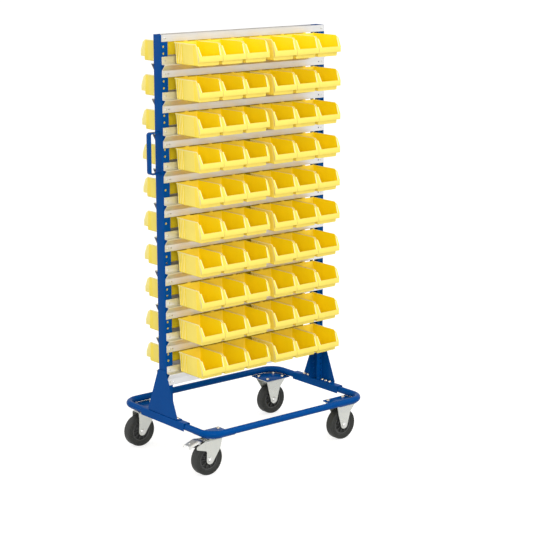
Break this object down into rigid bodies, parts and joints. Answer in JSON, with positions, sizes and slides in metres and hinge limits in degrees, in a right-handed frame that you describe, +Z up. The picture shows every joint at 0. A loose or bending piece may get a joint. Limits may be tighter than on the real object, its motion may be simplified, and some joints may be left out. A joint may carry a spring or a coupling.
{
  "type": "mobile bin cart",
  "caption": "Double-sided rack of louvre rails that carry open-fronted storage bins, on a bent tube base with swivel and fixed castors and a push handle.",
  "frame": {"origin": "on the floor, in the middle of the cart's outer box", "axes": "+Z up, +X from the push handle's side to the fixed castors' side, -Y towards the front face of the rack"},
  "size_m": [0.856, 0.5974, 1.6445],
  "materials": {
    "blue_paint": "semi-gloss powder coat",
    "yellow_plastic": "satin moulded",
    "galvanised_sheet": "galvanised",
    "bright_zinc": "bright zinc plate",
    "black_rubber": "matt",
    "dark_plastic": "moulded"
  },
  "bodies": {
    "frame": {"axle_fr": "bright_zinc", "axle_rr": "bright_zinc", "base_tube_front": "blue_paint", "base_tube_rear": "blue_paint", "corner_plate_fl": "blue_paint", "corner_plate_fr": "blue_paint", "corner_plate_rl": "blue_paint", "corner_plate_rr": "blue_paint", "fixed_fork_fr": "galvanised_sheet", "fixed_fork_rr": "galvanised_sheet", "gusset_left": "blue_paint", "gusset_right": "blue_paint", "push_handle": "blue_paint", "rail_front_01_with_bins": "yellow_plastic", "rail_front_02_with_bins": "yellow_plastic", "rail_front_03_with_bins": "yellow_plastic", "rail_front_04_with_bins": "yellow_plastic", "rail_front_05_with_bins": "yellow_plastic", "rail_front_06_with_bins": "yellow_plastic", "rail_front_07_with_bins": "yellow_plastic", "rail_front_08_with_bins": "yellow_plastic", "rail_front_09_with_bins": "yellow_plastic", "rail_front_10": "galvanised_sheet", "rail_rear_01_with_bins": "yellow_plastic", "rail_rear_02_with_bins": "yellow_plastic", "rail_rear_03_with_bins": "yellow_plastic", "rail_rear_04_with_bins": "yellow_plastic", "rail_rear_05_with_bins": "yellow_plastic", "rail_rear_06_with_bins": "yellow_plastic", "rail_rear_07_with_bins": "yellow_plastic", "rail_rear_08_with_bins": "yellow_plastic", "rail_rear_09_with_bins": "yellow_plastic", "rail_rear_10_with_bins": "yellow_plastic", "saddle_left": "blue_paint", "saddle_right": "blue_paint", "swivel_plate_fl": "galvanised_sheet", "swivel_plate_rl": "galvanised_sheet", "top_strip_front": "galvanised_sheet", "top_strip_rear": "galvanised_sheet", "upright_left": "blue_paint", "upright_right": "blue_paint"},
    "swivel_fl": {"swivel_fork_fl": "galvanised_sheet", "axle_fl": "bright_zinc"},
    "swivel_rl": {"swivel_fork_rl": "galvanised_sheet", "axle_rl": "bright_zinc"},
    "wheel_fl": {"tyre_fl": "black_rubber", "rim_fl": "dark_plastic"},
    "wheel_fr": {"tyre_fr": "black_rubber", "rim_fr": "dark_plastic"},
    "wheel_rl": {"tyre_rl": "black_rubber", "rim_rl": "dark_plastic"},
    "wheel_rr": {"tyre_rr": "black_rubber", "rim_rr": "dark_plastic"},
    "brake_pedal": {"brake_pedal_fl": "bright_zinc"},
    "loose_bin_1": {"bin_front_10_1": "yellow_plastic"},
    "loose_bin_2": {"bin_front_10_2": "yellow_plastic"},
    "loose_bin_3": {"bin_front_10_3": "yellow_plastic"},
    "loose_bin_4": {"bin_front_10_4": "yellow_plastic"},
    "loose_bin_5": {"bin_front_10_5": "yellow_plastic"},
    "loose_bin_6": {"bin_front_10_6": "yellow_plastic"}
  },
  "joints": [
    {"name": "swivel_turn_fl", "type": "hinge", "parent": "frame", "child": "swivel_fl", "pos_m": [-0.29452, -0.2226, 0.14], "axis": [0, 0, 1], "continuous": true},
    {"name": "wheel_roll_fl", "type": "hinge", "parent": "swivel_fl", "child": "wheel_fl", "pos_m": [-0.33353, -0.2226, 0.0625], "axis": [0, 1, 0], "continuous": true},
    {"name": "swivel_turn_rl", "type": "hinge", "parent": "frame", "child": "swivel_rl", "pos_m": [-0.29452, 0.2226, 0.14], "axis": [0, 0, 1], "continuous": true},
    {"name": "wheel_roll_rl", "type": "hinge", "parent": "swivel_rl", "child": "wheel_rl", "pos_m": [-0.33353, 0.2226, 0.0625], "axis": [0, 1, 0], "continuous": true},
    {"name": "wheel_roll_fr", "type": "hinge", "parent": "frame", "child": "wheel_fr", "pos_m": [0.34347, -0.2226, 0.0625], "axis": [0, 1, 0], "continuous": true},
    {"name": "wheel_roll_rr", "type": "hinge", "parent": "frame", "child": "wheel_rr", "pos_m": [0.34347, 0.2226, 0.0625], "axis": [0, 1, 0], "continuous": true},
    {"name": "brake_press", "type": "hinge", "parent": "swivel_fl", "child": "brake_pedal", "pos_m": [-0.34453, -0.2226, 0.1335], "axis": [0, -1, 0], "range_deg": [0, 10]},
    {"name": "bin_lift_1", "type": "slide", "parent": "frame", "child": "loose_bin_1", "axis": [0, 0, 1], "range_m": [0, 0.03]},
    {"name": "bin_lift_2", "type": "slide", "parent": "frame", "child": "loose_bin_2", "axis": [0, 0, 1], "range_m": [0, 0.03]},
    {"name": "bin_lift_3", "type": "slide", "parent": "frame", "child": "loose_bin_3", "axis": [0, 0, 1], "range_m": [0, 0.03]},
    {"name": "bin_lift_4", "type": "slide", "parent": "frame", "child": "loose_bin_4", "axis": [0, 0, 1], "range_m": [0, 0.03]},
    {"name": "bin_lift_5", "type": "slide", "parent": "frame", "child": "loose_bin_5", "axis": [0, 0, 1], "range_m": [0, 0.03]},
    {"name": "bin_lift_6", "type": "slide", "parent": "frame", "child": "loose_bin_6", "axis": [0, 0, 1], "range_m": [0, 0.03]}
  ]
}
